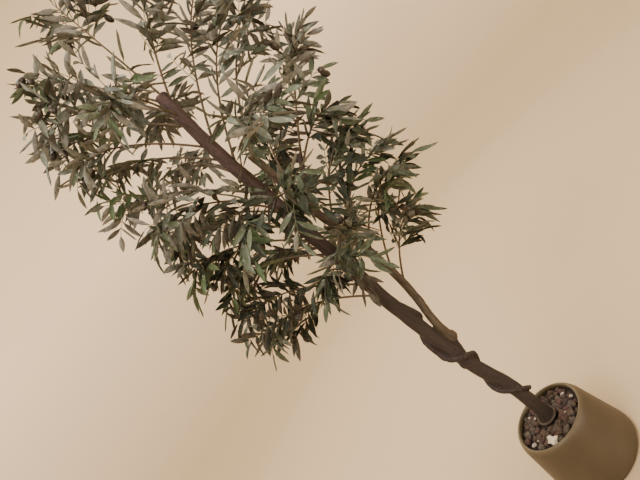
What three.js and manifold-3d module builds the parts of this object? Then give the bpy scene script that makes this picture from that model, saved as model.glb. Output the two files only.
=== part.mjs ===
// Artificial olive tree in its pot, in millimetres, +Z up.
// The origin is the centre of the pot's flat underside. +X is to the right and +Y
// is away from a person who stands in front of the tree.
import * as THREE from 'three';
import { ConvexGeometry } from 'three/addons/geometries/ConvexGeometry.js';
import { mergeVertices } from 'three/addons/utils/BufferGeometryUtils.js';
import Module from 'manifold-3d';

const wasm = await Module();
wasm.setup();

// Pot: a hollow truncated cone that is wider at its foot, with a rounded lip.
const POT_HEIGHT = 201;
const UNDERSIDE_RADIUS = 136;
const FOOT_RADIUS = 150;
const FOOT_ROUND = 18;
const SHOULDER_RADIUS = 129.5;
const SHOULDER_ROUND = 22;
const MOUTH_RADIUS = 123;
const WALL = 12;
const LIP_FOOT = 189;
const POT_FLOOR = 10;
const POT_SIDES = 32;
const ROUND_STEPS = 3;

// What fills the pot: a cast block that holds the trunk, and loose stones on it.
const BLOCK_TOP = 172;
const LOOSE_TOP = 183;
const STONE_MIDDLE = 185.5;
const STONE_COUNT = 18;
const STONE_RADIUS = 14;
const STONE_SIZES = [0.8, 1.25];
const STONE_WIDTHS = [0.8, 1.2];
const STONE_FLATNESS = 0.75;
const STONE_RING = [42, 99];
const STONE_SEED = 271;

// Clearance between pieces that rest on each other or are cut by a neighbour.
const CLEAR = 0.3;

// Main stem, from below its flat cut on the block to the end of the left limb.
// The fork is a level cut between the trunk and the left limb.
const STEM_RADIUS = 21.5;
const STEM_FOOT_RADIUS = 28;
const FLARE_START = 197;
const FLARE_HEIGHT = 16;
const LIMB_END_RADIUS = 17;
const STEM_SIDES = 10;
const STEM_STEPS = 30;
const FORK_HEIGHT = 690;
const TREE_TOP = 2200;
const STEM_POINTS = [
  [0, 9, BLOCK_TOP - 10],
  [8, 0, 270],
  [7, 0, 375],
  [-8, 0, 480],
  [-12, 0, 585],
  [-11, 0, 690],
  [-8, -3, 815],
  [2, -20, 940],
  [10, -42, 1065],
  [20, -64, 1190],
  [31, -84, 1315],
  [40, -98, 1440],
  [55, -106, 1555],
  [71, -110, 1662],
];

// Winding stem: it starts as a cut stub, winds twice round the main stem and grows
// into it above the fork. Each station is [height, heading in degrees, distance of
// its middle from the main stem's surface in its own radii].
const WINDING_START_RADIUS = 7;
const WINDING_END_RADIUS = 10;
const WINDING_FULL_SHARE = 0.625;
const WINDING_SIDES = 6;
const WINDING_STEPS = 40;
const WINDING_STATIONS = [
  [302, 6, 1.5],
  [308, -10, 0.9],
  [346, -90, 0.5],
  [392, -180, 1.2],
  [450, -270, 0.6],
  [510, -360, 0.9],
  [546, -450, 0.5],
  [584, -540, 0.9],
  [640, -555, 0.8],
  [684, -630, 0.4],
  [726, -710, 0.4],
  [795, -722, -1.2],
];

// Right stem: its foot grows out of the main stem's right side, and above the
// fork it is the right limb.
const RIGHT_RADIUS = 14.5;
const RIGHT_TIP_RADIUS = 10.5;
const RIGHT_SIDES = 8;
const RIGHT_FOOT_STEPS = 8;
const RIGHT_FORK_POINT = 3;
const RIGHT_POINTS = [
  [-2, 6, 535],
  [11, 8, 574],
  [21, 8, 612],
  [25, 7, 650],
  [34, 14, 690],
  [52, 29, 742],
  [68, 45, 815],
  [77, 52, 890],
  [83, 42, 970],
  [80, 5, 1052],
  [74, -42, 1130],
  [75, -84, 1215],
  [82, -126, 1300],
  [86, -160, 1380],
];

// Third limb, which leaves the right limb half way up.
const SIDE_LIMB_RADIUS = 10;
const SIDE_LIMB_TIP_RADIUS = 7.5;
const SIDE_LIMB_POINTS = [
  [74, -38, 1122],
  [82, -52, 1176],
  [112, -57, 1220],
  [146, -60, 1252],
  [176, -64, 1286],
];

// Knots on the trunk, as [height, heading in degrees, distance of the knot's
// middle from the main stem's, radius].
const KNOT_LENGTH = 1.5;
const KNOTS = [
  [603, 5, 31, 12],
  [516, 188, 16, 11],
];

// Sprays: artificial branches whose wire stems are pushed into the limbs. A stem
// starts off its limb's middle, and ends short of the spray's reach by a tip leaf.
const FOOT_OFFSET = 0.5;
const TIP_LEAF_REACH = 80;
const ARCH = 0.42;
const SPRAY_STEPS = 4;
const SPRAY_RADIUS = 4.4;
const SPRAY_TIP_RADIUS = 3.2;

// Twigs leave a spray's stem in turn to the left and right. Lengths are shares of
// the spray's reach, and angles that end in ROLL or TILT are in radians.
const TWIGS = 4;
const LAST_TWIG_SHARE = 0.88;
const TWIG_LENGTH = 0.34;
const TWIG_SHORTENING = 0.5;
const TWIG_LENGTHS = [0.8, 1.15];
const TWIG_OPEN = 40;
const TWIG_ROLL = 0.9;
const TWIG_RADIUS = 1.9;
const TWIG_CHECKS = [0.3, 0.5, 0.75, 1];

// Leaves stand in pairs on the twigs and stems, and each stem ends in one leaf.
const LEAF_LENGTH = 100;
const LEAF_LENGTHS = [0.78, 1.08];
const LEAF_WIDTH = 31;
const LEAF_WIDEST = 0.46;
const LEAF_RIDGE = 3;
const LEAF_SUNK = 1.2;
const LEAF_OPEN = 50;
const LEAF_TILT = 1.3;
const LEAF_DROOP = 0.18;
const LEAF_TRIES = 6;
const LEAF_TRY_ROLL = 0.3;
const LEAF_CHECKS = [0.35, 0.55, 0.8, 1];
const PAIR_ROLL = 0.7;
const PAIR_STAGGER = 6;
const TWIG_PAIR_SHARE = 0.6;
const STEM_PAIR_SHARES = [0.94, 0.72];
const TIP_LEAF_OPEN = 8;
const TWIG_TIP_LEAF_SHARE = 0.97;
const STEM_TIP_LEAF_SHARE = 0.99;
const FRUIT_LENGTH = 34;
const FRUIT_WIDTH = 23;
const FRUIT_SUNK = 3.5;

// Room that is kept to other sprays, between leaves and off the limbs.
const OWN_SPACE = 3;
const LEAF_SPACE = 11;
const LIMB_SPACE = 5;
const LIMB_STATIONS = 90;
const SPINE_POINTS = 8;
const STEM_CHECKS = 12;
const TWIG_SEED = 4801;
const LEAF_SEED = 7703;
const SEED_STEP = 97;

// Each spray: [name, limb, share of the limb, heading and rise in degrees, reach to
// its furthest leaf, fruits, bare share of its stem]. Heading 0 is +X and 90 is +Y.
const SPRAYS = [
  ['crown_tip', 'left', 1.0, 70, 80, 475, 1, 0.6],
  ['crown_left', 'left', 0.98, 195, 60, 380, 3, 0.4],
  ['crown_far_left', 'left', 0.945, 195, 40, 390, 2, 0.45],
  ['crown_near_left', 'left', 0.915, 250, 15, 330, 0, 0.3],
  ['crown_right', 'left', 0.96, 350, 45, 400, 0, 0.3],
  ['crown_back', 'left', 0.925, 120, 48, 390, 0, 0.4],
  ['upper_left', 'left', 0.885, 170, 43, 410, 1, 0.4],
  ['upper_back', 'left', 0.86, 92, 30, 420, 0, 0.3],
  ['upper_left_front', 'left', 0.8, 190, 45, 400, 1, 0.4],
  ['upper_right', 'left', 0.79, 10, 42, 535, 1, 0.3],
  ['upper_right_front', 'left', 0.71, 342, 36, 470, 0, 0.35],
  ['upper_left_back', 'left', 0.75, 165, 45, 420, 0, 0.4],
  ['middle_back', 'left', 0.68, 112, 34, 440, 0, 0.35],
  ['middle_left', 'left', 0.62, 184, 46, 440, 1, 0.35],
  ['middle_left_low', 'left', 0.58, 207, 36, 390, 0, 0.35],
  ['middle_front', 'left', 0.53, 252, 8, 380, 1, 0.2],
  ['middle_left_back', 'left', 0.54, 158, 36, 410, 0, 0.35],
  ['middle_right_back', 'left', 0.47, 70, 30, 460, 0, 0.35],
  ['low_left_front', 'left', 0.42, 198, 40, 410, 2, 0.35],
  ['low_left', 'left', 0.36, 172, 30, 390, 1, 0.3],
  ['low_front_left', 'left', 0.27, 250, 22, 270, 0, 0.12],
  ['low_back', 'left', 0.3, 112, 28, 430, 0, 0.35],
  ['hem_left_back', 'left', 0.22, 170, 38, 420, 0, 0.4],
  ['hem_left_front', 'left', 0.17, 198, 36, 420, 2, 0.4],
  ['hem_right', 'right', 0.29, 350, 34, 300, 0, 0.35],
  ['hem_right_front', 'right', 0.36, 328, 42, 390, 1, 0.45],
  ['hem_back', 'right', 0.4, 82, 24, 410, 0, 0.35],
  ['low_right', 'right', 0.57, 356, 20, 340, 0, 0.3],
  ['low_right_front', 'right', 0.47, 336, 20, 360, 1, 0.3],
  ['low_front', 'right', 0.54, 258, 2, 370, 1, 0.15],
  ['middle_right', 'right', 0.65, 344, 30, 350, 0, 0.25],
  ['middle_front_right', 'right', 0.74, 266, 8, 430, 1, 0.3],
  ['middle_right_rear', 'right', 0.82, 58, 36, 430, 0, 0.35],
  ['upper_front', 'right', 0.96, 285, 4, 370, 0, 0.35],
  ['high_right', 'right', 1.0, 16, 35, 490, 1, 0.4],
  ['side_low', 'side', 0.8, 332, 12, 245, 0, 0.3],
  ['side_high', 'side', 0.98, 352, 40, 375, 2, 0.35],
];

const COLOURS = {
  pot: 0x75603f,
  block: 0x3a322a,
  gravel: 0x4a3a33,
  bark: 0x4a382e,
  leaf: 0x4b5238,
};

const UP = new THREE.Vector3(0, 0, 1);
const radians = THREE.MathUtils.degToRad;
const mix = THREE.MathUtils.lerp;

// A closed three.js geometry as a solid that can be joined and cut.
function solidFrom(geometry) {
  geometry.deleteAttribute('normal');
  geometry.deleteAttribute('uv');
  const merged = mergeVertices(geometry);
  const corners = merged.index.array;
  const triangles = [];
  for (let i = 0; i < corners.length; i += 3) {
    const [a, b, c] = [corners[i], corners[i + 1], corners[i + 2]];
    if (a !== b && b !== c && c !== a) {
      triangles.push(a, b, c);
    }
  }
  return new wasm.Manifold(new wasm.Mesh({
    numProp: 3,
    vertProperties: Float32Array.from(merged.attributes.position.array),
    triVerts: Uint32Array.from(triangles),
  }));
}

// The solid's largest piece. Loose scraps and the walls of sealed hollows are dropped.
function largestPiece(solid) {
  const pieces = solid.decompose();
  return pieces.reduce((best, piece) => (piece.volume() > best.volume() ? piece : best));
}

function joined(solids) {
  return solids.reduce((whole, solid) => whole.add(solid));
}

function meshFrom(name, solid, colour, roughness) {
  const { vertProperties, triVerts } = solid.getMesh();
  const geometry = new THREE.BufferGeometry();
  geometry.setAttribute('position', new THREE.BufferAttribute(vertProperties, 3));
  geometry.setIndex(new THREE.BufferAttribute(triVerts, 1));
  geometry.computeVertexNormals();
  const material = new THREE.MeshStandardMaterial({ color: colour, roughness, metalness: 0 });
  const mesh = new THREE.Mesh(geometry, material);
  mesh.name = name;
  return mesh;
}

// Seeded random numbers from 0 to 1.
function makeRandom(seed) {
  const modulus = 2147483647;
  let state = seed;
  return () => {
    state = (state * 16807) % modulus;
    return state / modulus;
  };
}

function vectors(points) {
  return points.map(([x, y, z]) => new THREE.Vector3(x, y, z));
}

function direction(heading, rise) {
  const level = Math.cos(radians(rise));
  return new THREE.Vector3(
    level * Math.cos(radians(heading)),
    level * Math.sin(radians(heading)),
    Math.sin(radians(rise)),
  );
}

// One stretch of a longer curve, as a curve of its own.
class Stretch extends THREE.Curve {
  constructor(whole, from, to) {
    super();
    this.whole = whole;
    this.from = from;
    this.to = to;
  }

  getPoint(share) {
    return this.whole.getPoint(mix(this.from, this.to, share));
  }
}

// A closed tube along a curve, whose radius is a function of its share of the
// curve: a capped cylinder that is bent ring by ring.
function taperedTube(curve, radiusAt, sides, steps) {
  const tube = new THREE.CylinderGeometry(1, 1, 1, sides, steps);
  const frames = curve.computeFrenetFrames(steps, false);
  const place = tube.attributes.position;
  for (let i = 0; i < place.count; i += 1) {
    const ring = Math.round((place.getY(i) + 0.5) * steps);
    const share = curve.getUtoTmapping(ring / steps);
    const radius = radiusAt(share);
    const point = curve.getPoint(share);
    point.addScaledVector(frames.binormals[ring], place.getX(i) * radius);
    point.addScaledVector(frames.normals[ring], place.getZ(i) * radius);
    place.setXYZ(i, point.x, point.y, point.z);
  }
  return solidFrom(tube);
}

// The pot's cross-section, from the axis along the underside, up the outside,
// over the lip and down the inside.
function potOutline() {
  const outline = new THREE.Path();
  const inside = MOUTH_RADIUS - WALL;
  outline.moveTo(0, 0);
  outline.lineTo(UNDERSIDE_RADIUS, 0);
  outline.quadraticCurveTo(FOOT_RADIUS, 0, FOOT_RADIUS, FOOT_ROUND);
  outline.lineTo(SHOULDER_RADIUS, POT_HEIGHT - SHOULDER_ROUND);
  outline.quadraticCurveTo(MOUTH_RADIUS, POT_HEIGHT, MOUTH_RADIUS - WALL / 2, POT_HEIGHT);
  outline.quadraticCurveTo(inside, POT_HEIGHT, inside, LIP_FOOT);
  outline.lineTo(innerRadius(POT_FLOOR), POT_FLOOR);
  outline.lineTo(0, POT_FLOOR);
  return outline.getPoints(ROUND_STEPS);
}

// Radius of the pot's inside at a height.
function innerRadius(height) {
  return mix(FOOT_RADIUS - WALL, MOUTH_RADIUS - WALL, height / LIP_FOOT);
}

function turned(points) {
  const lathe = new THREE.LatheGeometry(points, POT_SIDES);
  lathe.rotateX(Math.PI / 2);
  return solidFrom(lathe);
}

// A body of revolution that fills the pot between two heights.
function fillSolid(bottom, top) {
  return turned([
    new THREE.Vector2(0, bottom),
    new THREE.Vector2(innerRadius(bottom) - CLEAR, bottom),
    new THREE.Vector2(innerRadius(top) - CLEAR, top),
    new THREE.Vector2(0, top),
  ]);
}

// A layer of stones: a ring round the trunk's foot with stones standing out of it.
function makeGravel(footprint) {
  const random = makeRandom(STONE_SEED);
  const stoneInside = fillSolid(BLOCK_TOP + CLEAR, POT_HEIGHT);
  const stones = [fillSolid(BLOCK_TOP + CLEAR, LOOSE_TOP)];
  const [innermost, outermost] = STONE_RING;
  const goldenTurn = Math.PI * (3 - Math.sqrt(5));
  for (let i = 0; i < STONE_COUNT; i += 1) {
    const turn = i * goldenTurn;
    const out = Math.sqrt(mix(innermost ** 2, outermost ** 2, (i + 0.5) / STONE_COUNT));
    const stone = new THREE.IcosahedronGeometry(STONE_RADIUS * mix(...STONE_SIZES, random()), 0);
    stone.scale(mix(...STONE_WIDTHS, random()), 1, STONE_FLATNESS);
    stone.rotateZ(random() * Math.PI);
    stone.translate(out * Math.cos(turn), out * Math.sin(turn), STONE_MIDDLE);
    stones.push(solidFrom(stone));
  }
  return largestPiece(joined(stones).intersect(stoneInside).subtract(footprint));
}

// A smooth curve through points.
function smoothCurve(points) {
  return new THREE.CatmullRomCurve3(vectors(points), false, 'catmullrom', 0.5);
}

const mainStem = smoothCurve(STEM_POINTS);
const rightStem = smoothCurve(RIGHT_POINTS);
const sideLimb = smoothCurve(SIDE_LIMB_POINTS);

// Share of the main stem at a height.
function stemShareAt(height) {
  const above = STEM_POINTS.findIndex((point) => point[2] >= height);
  const [low, high] = [STEM_POINTS[above - 1][2], STEM_POINTS[above][2]];
  return (above - 1 + (height - low) / (high - low)) / (STEM_POINTS.length - 1);
}

// Radius of the main stem at a height: flared at the foot, slimmer above the fork.
function stemRadius(height) {
  const flare = Math.exp(-Math.max(height - FLARE_START, 0) / FLARE_HEIGHT);
  const top = STEM_POINTS[STEM_POINTS.length - 1][2];
  const climb = THREE.MathUtils.clamp((height - FORK_HEIGHT) / (top - FORK_HEIGHT), 0, 1);
  return mix(STEM_RADIUS, LIMB_END_RADIUS, climb) + (STEM_FOOT_RADIUS - STEM_RADIUS) * flare;
}

// The winding stem's centre line, from a smooth run of its stations.
class WindingCurve extends THREE.Curve {
  constructor() {
    super();
    this.stations = smoothCurve(WINDING_STATIONS);
  }

  getPoint(share) {
    const { x: height, y: heading, z: standOff } = this.stations.getPoint(share);
    const out = STEM_RADIUS + standOff * windingRadius(share);
    return mainStem.getPoint(stemShareAt(height)).addScaledVector(direction(heading, 0), out);
  }
}

function windingRadius(share) {
  const grown = Math.min(share / WINDING_FULL_SHARE, 1);
  return mix(WINDING_START_RADIUS, WINDING_END_RADIUS, grown);
}

const winding = new WindingCurve();
const forkShare = stemShareAt(FORK_HEIGHT);
const rightForkShare = RIGHT_FORK_POINT / (RIGHT_POINTS.length - 1);
const rightGap = CLEAR / rightStem.getLength();

const LIMBS = {
  left: {
    curve: new Stretch(mainStem, forkShare, 1),
    radiusAt: (share) => mix(STEM_RADIUS, LIMB_END_RADIUS, share),
  },
  right: {
    curve: new Stretch(rightStem, rightForkShare + rightGap, 1),
    radiusAt: (share) => mix(RIGHT_RADIUS, RIGHT_TIP_RADIUS, share),
    steps: 18,
  },
  side: {
    curve: sideLimb,
    radiusAt: (share) => mix(SIDE_LIMB_RADIUS, SIDE_LIMB_TIP_RADIUS, share),
    steps: 8,
  },
};

// A limb that is grown by some clearance also ends that much further on.
function grownCurve(curve, clearance) {
  return new Stretch(curve, 0, 1 - (CLEAR - clearance) / curve.getLength());
}

function limbSolid(limb, clearance) {
  const curve = grownCurve(limb.curve, clearance);
  const radiusAt = (share) => limb.radiusAt(share) + clearance;
  return taperedTube(curve, radiusAt, RIGHT_SIDES, limb.steps);
}

// The whole main stem with the stem that winds round it.
function twinStem(clearance) {
  const mainRadius = (share) => stemRadius(mainStem.getPoint(share).z) + clearance;
  const woundRadius = (share) => windingRadius(share) + clearance;
  const main = taperedTube(grownCurve(mainStem, clearance), mainRadius, STEM_SIDES, STEM_STEPS);
  return main.add(taperedTube(winding, woundRadius, WINDING_SIDES, WINDING_STEPS));
}

// A level slab, wide enough to cut any stem.
function slab(bottom, top) {
  const box = new THREE.BoxGeometry(2 * FOOT_RADIUS, 2 * FOOT_RADIUS, top - bottom);
  box.translate(0, 0, (top + bottom) / 2);
  return solidFrom(box);
}

function makeTrunk(stem) {
  const foot = new Stretch(rightStem, 0, rightForkShare);
  const parts = [stem, taperedTube(foot, () => RIGHT_RADIUS, RIGHT_SIDES, RIGHT_FOOT_STEPS)];
  for (const [height, heading, out, radius] of KNOTS) {
    const knot = new THREE.IcosahedronGeometry(radius, 0);
    const place = mainStem.getPoint(stemShareAt(height));
    place.addScaledVector(direction(heading, 0), out);
    knot.scale(1, 1, KNOT_LENGTH);
    knot.translate(place.x, place.y, place.z);
    parts.push(solidFrom(knot));
  }
  return joined(parts).intersect(slab(BLOCK_TOP + CLEAR, FORK_HEIGHT));
}

function makeLeftLimb(stem) {
  return stem.intersect(slab(FORK_HEIGHT + CLEAR, TREE_TOP));
}

// Points along every stem and limb, with the radius there, for keeping leaves off.
function limbStations() {
  const stations = [];
  const curves = [[mainStem, STEM_RADIUS], [rightStem, RIGHT_RADIUS], [sideLimb, SIDE_LIMB_RADIUS]];
  for (const [curve, radius] of curves) {
    for (const point of curve.getSpacedPoints(LIMB_STATIONS)) {
      stations.push({ point, radius });
    }
  }
  return stations;
}

const stations = limbStations();

function clearOfLimbs(point) {
  return stations.every((station) => (
    station.point.distanceTo(point) > station.radius + LIMB_SPACE
  ));
}

// A spray's stem: it starts inside its limb, on its own side of the limb's middle,
// climbs along it and arches outwards.
function sprayCurve([, limbName, share, heading, rise, reach]) {
  const limb = LIMBS[limbName];
  const foot = limb.curve.getPoint(share);
  foot.addScaledVector(direction(heading, 0), limb.radiusAt(share) * FOOT_OFFSET);
  const along = limb.curve.getTangent(share);
  const out = direction(heading, rise);
  const length = reach - TIP_LEAF_REACH;
  const tip = foot.clone().addScaledVector(out, length);
  const bend = foot.clone().addScaledVector(out, length / 2);
  bend.addScaledVector(along, length * ARCH * Math.cos(radians(rise)) ** 2);
  return new THREE.QuadraticBezierCurve3(foot, bend, tip);
}

const sprayCurves = SPRAYS.map(sprayCurve);
const spines = sprayCurves.map((curve) => curve.getPoints(SPINE_POINTS));

function distanceToSpine(point, spine) {
  const nearest = new THREE.Vector3();
  const piece = new THREE.Line3();
  let least = Infinity;
  for (let i = 1; i < spine.length; i += 1) {
    piece.set(spine[i - 1], spine[i]).closestPointToPoint(point, true, nearest);
    least = Math.min(least, nearest.distanceTo(point));
  }
  return least;
}

// True where a point is nearer to its own spray's stem than to any other.
function inOwnSpace(point, order) {
  const own = distanceToSpine(point, spines[order]);
  return spines.every((spine, other) => (
    other === order || distanceToSpine(point, spine) > own + 2 * OWN_SPACE
  ));
}

function mayHold(points, order) {
  return points.every((point) => clearOfLimbs(point) && inOwnSpace(point, order));
}

// A leaf's corners: its root inside the twig, its two sides, which hang a little
// below the midrib, and its tip.
function leafCorners(root, out, length, tilt) {
  const across = out.clone().cross(UP).normalize();
  const over = across.clone().cross(out).normalize();
  const wide = across.clone().multiplyScalar(Math.cos(tilt));
  wide.addScaledVector(over, Math.sin(tilt));
  const below = out.clone().cross(wide).normalize();
  const middle = root.clone().addScaledVector(out, length * LEAF_WIDEST);
  middle.addScaledVector(below, LEAF_RIDGE);
  return [
    root.clone().addScaledVector(out, -LEAF_SUNK),
    middle.clone().addScaledVector(wide, LEAF_WIDTH / 2),
    middle.clone().addScaledVector(wide, -LEAF_WIDTH / 2),
    root.clone().addScaledVector(out, length),
  ];
}

// A straight three-sided rod between two points.
function rod(start, end, radius) {
  const along = end.clone().sub(start).normalize();
  const side = along.clone().cross(UP).normalize();
  const lift = side.clone().cross(along);
  const corners = [];
  for (const centre of [start, end]) {
    for (let i = 0; i < 3; i += 1) {
      const turn = (i * 2 * Math.PI) / 3;
      const corner = centre.clone().addScaledVector(side, Math.cos(turn) * radius);
      corners.push(corner.addScaledVector(lift, Math.sin(turn) * radius));
    }
  }
  return solidFrom(new ConvexGeometry(corners));
}

function leafDirection(along, open, roll) {
  const side = along.clone().cross(UP).normalize();
  const lift = side.clone().cross(along);
  const out = along.clone().multiplyScalar(Math.cos(radians(open)));
  out.addScaledVector(side, Math.sin(radians(open)) * Math.cos(roll));
  out.addScaledVector(lift, Math.sin(radians(open)) * Math.sin(roll));
  out.z -= LEAF_DROOP;
  return out.normalize();
}

// The side twigs of a spray, which leave its stem to the left and right in turn.
function sprayTwigs(order) {
  const random = makeRandom(TWIG_SEED + SEED_STEP * order);
  const curve = sprayCurves[order];
  const [, , , , , reach, , bareShare] = SPRAYS[order];
  const twigs = [];
  for (let i = 0; i < TWIGS; i += 1) {
    const share = mix(bareShare, LAST_TWIG_SHARE, i / (TWIGS - 1));
    const roll = Math.PI * (i % 2) + mix(-TWIG_ROLL, TWIG_ROLL, random());
    const shorter = mix(1, TWIG_SHORTENING, share) * mix(...TWIG_LENGTHS, random());
    const length = reach * TWIG_LENGTH * shorter;
    const start = curve.getPoint(share);
    const out = leafDirection(curve.getTangent(share), TWIG_OPEN, roll);
    const end = start.clone().addScaledVector(out, length);
    const outer = TWIG_CHECKS.map((part) => start.clone().lerp(end, part));
    if (mayHold(outer, order)) {
      twigs.push({ start, end, out, outer });
    }
  }
  return twigs;
}

// One spray: its stem, its side twigs, and the leaves and fruits on them.
function growSpray(row, order) {
  const random = makeRandom(LEAF_SEED + SEED_STEP * order);
  const curve = sprayCurves[order];
  const twigs = sprayTwigs(order);
  const radiusAt = (share) => mix(SPRAY_RADIUS, SPRAY_TIP_RADIUS, share);
  const parts = [taperedTube(curve, radiusAt, 3, SPRAY_STEPS)];
  const taken = curve.getPoints(STEM_CHECKS);
  let fruitsLeft = row[6];

  // True where none of the points comes near what the spray already holds.
  function uncrossed(points) {
    return points.every((point) => taken.every((other) => (
      other.distanceTo(point) > LEAF_SPACE
    )));
  }

  // A leaf is turned on round its twig until it crosses nothing.
  function addLeaf(root, along, open, roll) {
    const length = LEAF_LENGTH * mix(...LEAF_LENGTHS, random());
    for (let i = 0; i < LEAF_TRIES; i += 1) {
      const turn = roll + mix(-LEAF_TRY_ROLL, LEAF_TRY_ROLL, random()) * i;
      const tilt = mix(-LEAF_TILT, LEAF_TILT, random());
      const corners = leafCorners(root, leafDirection(along, open, turn), length, tilt);
      const tip = corners[3];
      const midrib = LEAF_CHECKS.map((share) => root.clone().lerp(tip, share));
      if (mayHold(corners.slice(1), order) && uncrossed(midrib)) {
        parts.push(solidFrom(new ConvexGeometry(corners)));
        taken.push(...midrib);
        return;
      }
    }
  }

  function addFruit(point, along) {
    const place = point.clone().addScaledVector(along, FRUIT_LENGTH / 2 - FRUIT_SUNK);
    if (mayHold([place], order)) {
      const fruit = new THREE.IcosahedronGeometry(FRUIT_WIDTH / 2, 0);
      fruit.scale(1, 1, FRUIT_LENGTH / FRUIT_WIDTH);
      fruit.applyQuaternion(new THREE.Quaternion().setFromUnitVectors(UP, along));
      fruit.translate(place.x, place.y, place.z);
      parts.push(solidFrom(fruit));
      taken.push(place);
    }
  }

  // Two leaves on opposite sides, one a little further on than the other.
  function addPair(point, along) {
    const roll = mix(-PAIR_ROLL, PAIR_ROLL, random());
    addLeaf(point, along, LEAF_OPEN, roll);
    const next = point.clone().addScaledVector(along, PAIR_STAGGER);
    addLeaf(next, along, LEAF_OPEN, roll + Math.PI);
  }

  for (const { start, end, outer } of twigs) {
    parts.push(rod(start, end, TWIG_RADIUS));
    taken.push(...outer.slice(0, 3));
  }
  for (const { start, end, out } of twigs) {
    if (fruitsLeft > 0) {
      addFruit(end, out);
      fruitsLeft -= 1;
    } else {
      addLeaf(start.clone().lerp(end, TWIG_TIP_LEAF_SHARE), out, TIP_LEAF_OPEN, 0);
    }
    addPair(start.clone().lerp(end, TWIG_PAIR_SHARE), out);
  }
  addLeaf(curve.getPoint(STEM_TIP_LEAF_SHARE), curve.getTangent(1), TIP_LEAF_OPEN, 0);
  for (const share of STEM_PAIR_SHARES) {
    addPair(curve.getPoint(share), curve.getTangent(share));
  }
  return joined(parts);
}

const plainStem = twinStem(0);
const swollenStem = twinStem(CLEAR);
const swollen = {
  left: swollenStem,
  right: limbSolid(LIMBS.right, CLEAR),
  side: limbSolid(LIMBS.side, CLEAR),
};
const rightLimb = largestPiece(limbSolid(LIMBS.right, 0).subtract(swollenStem));
const sideLimbSolid = largestPiece(limbSolid(LIMBS.side, 0).subtract(swollen.right));

const tree = new THREE.Group();
tree.add(meshFrom('pot', turned(potOutline()), COLOURS.pot, 0.55));
tree.add(meshFrom('filling', fillSolid(POT_FLOOR + CLEAR, BLOCK_TOP), COLOURS.block, 0.95));
tree.add(meshFrom('gravel', makeGravel(swollenStem), COLOURS.gravel, 0.9));
tree.add(meshFrom('trunk', makeTrunk(plainStem), COLOURS.bark, 0.85));
tree.add(meshFrom('limb_left', makeLeftLimb(plainStem), COLOURS.bark, 0.85));
tree.add(meshFrom('limb_right', rightLimb, COLOURS.bark, 0.85));
tree.add(meshFrom('limb_side', sideLimbSolid, COLOURS.bark, 0.85));

SPRAYS.forEach((row, order) => {
  const spray = growSpray(row, order).subtract(swollen[row[1]]);
  tree.add(meshFrom(`spray_${row[0]}`, largestPiece(spray), COLOURS.leaf, 0.6));
});

export default tree;
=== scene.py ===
from math import cos, exp, floor, pi, radians, sin, sqrt

import bmesh
import bpy
import numpy as np
from mathutils import Matrix, Vector, noise


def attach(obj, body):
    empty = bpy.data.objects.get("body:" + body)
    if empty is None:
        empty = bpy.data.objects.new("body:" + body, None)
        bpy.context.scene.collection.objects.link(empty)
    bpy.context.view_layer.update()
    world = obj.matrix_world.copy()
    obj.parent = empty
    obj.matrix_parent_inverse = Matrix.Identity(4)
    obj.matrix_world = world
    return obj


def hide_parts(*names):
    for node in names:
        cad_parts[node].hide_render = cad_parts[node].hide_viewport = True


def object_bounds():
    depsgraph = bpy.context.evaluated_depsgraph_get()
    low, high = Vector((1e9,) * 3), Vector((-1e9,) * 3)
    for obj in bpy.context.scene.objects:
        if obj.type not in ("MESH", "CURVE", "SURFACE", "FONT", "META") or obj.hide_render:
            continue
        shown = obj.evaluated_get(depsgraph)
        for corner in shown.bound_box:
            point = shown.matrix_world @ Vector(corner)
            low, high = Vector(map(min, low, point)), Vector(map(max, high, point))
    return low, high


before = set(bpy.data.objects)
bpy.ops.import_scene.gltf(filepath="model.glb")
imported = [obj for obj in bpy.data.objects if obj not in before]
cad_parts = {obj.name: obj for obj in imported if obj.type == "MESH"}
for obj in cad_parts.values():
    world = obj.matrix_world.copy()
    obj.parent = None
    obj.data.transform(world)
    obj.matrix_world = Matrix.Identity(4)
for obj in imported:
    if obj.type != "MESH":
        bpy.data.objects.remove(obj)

MM = 0.001
TANGENT_STEP = 1e-4
SMALLEST_SIDE = 1e-6
BALL_STEPS = 3
RANDOM_FACTOR = 16807
RANDOM_MODULUS = 2147483647
CAD_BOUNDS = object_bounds()
SOLIDS_LOW, SOLIDS_HIGH = (np.array(corner) / MM for corner in CAD_BOUNDS)

# Pot.
POT_HEIGHT = 201
UNDERSIDE_RADIUS = 136
FOOT_RADIUS = 150
FOOT_ROUND = 18
SHOULDER_RADIUS = 129.5
SHOULDER_ROUND = 22
MOUTH_RADIUS = 123
WALL = 12
LIP_FOOT = 189
POT_FLOOR = 10
POT_SIDES = 144
ROUND_STEPS = 10
# The pot is painted lighter from the lower height up to its lip: a painted highlight on the
# rim.
RIM_HIGHLIGHT_HEIGHTS = (188, 200)

# Stones.
BLOCK_TOP = 172
BED_TOP = 182
BED_CLEARANCE = 0.5
BED_SIDES = 96
STONE_SIZES = (8.0, 14.0)
STONE_SIZE_POWER = 1.4
STONE_STRETCH = ((0.8, 1.25), (0.75, 1.0), (0.6, 0.85))
STONE_TILT = 0.5
STONE_LEVELS = (-1.5, 2)
STONE_TURN_JITTER = 0.1
UNEVEN_SCALE = 1.4
UNEVEN_SHIFT = 50
DARK_UNEVEN = 0.42
PALE_UNEVEN = 0.75
LIGHT_UNEVEN = 0.9
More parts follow.
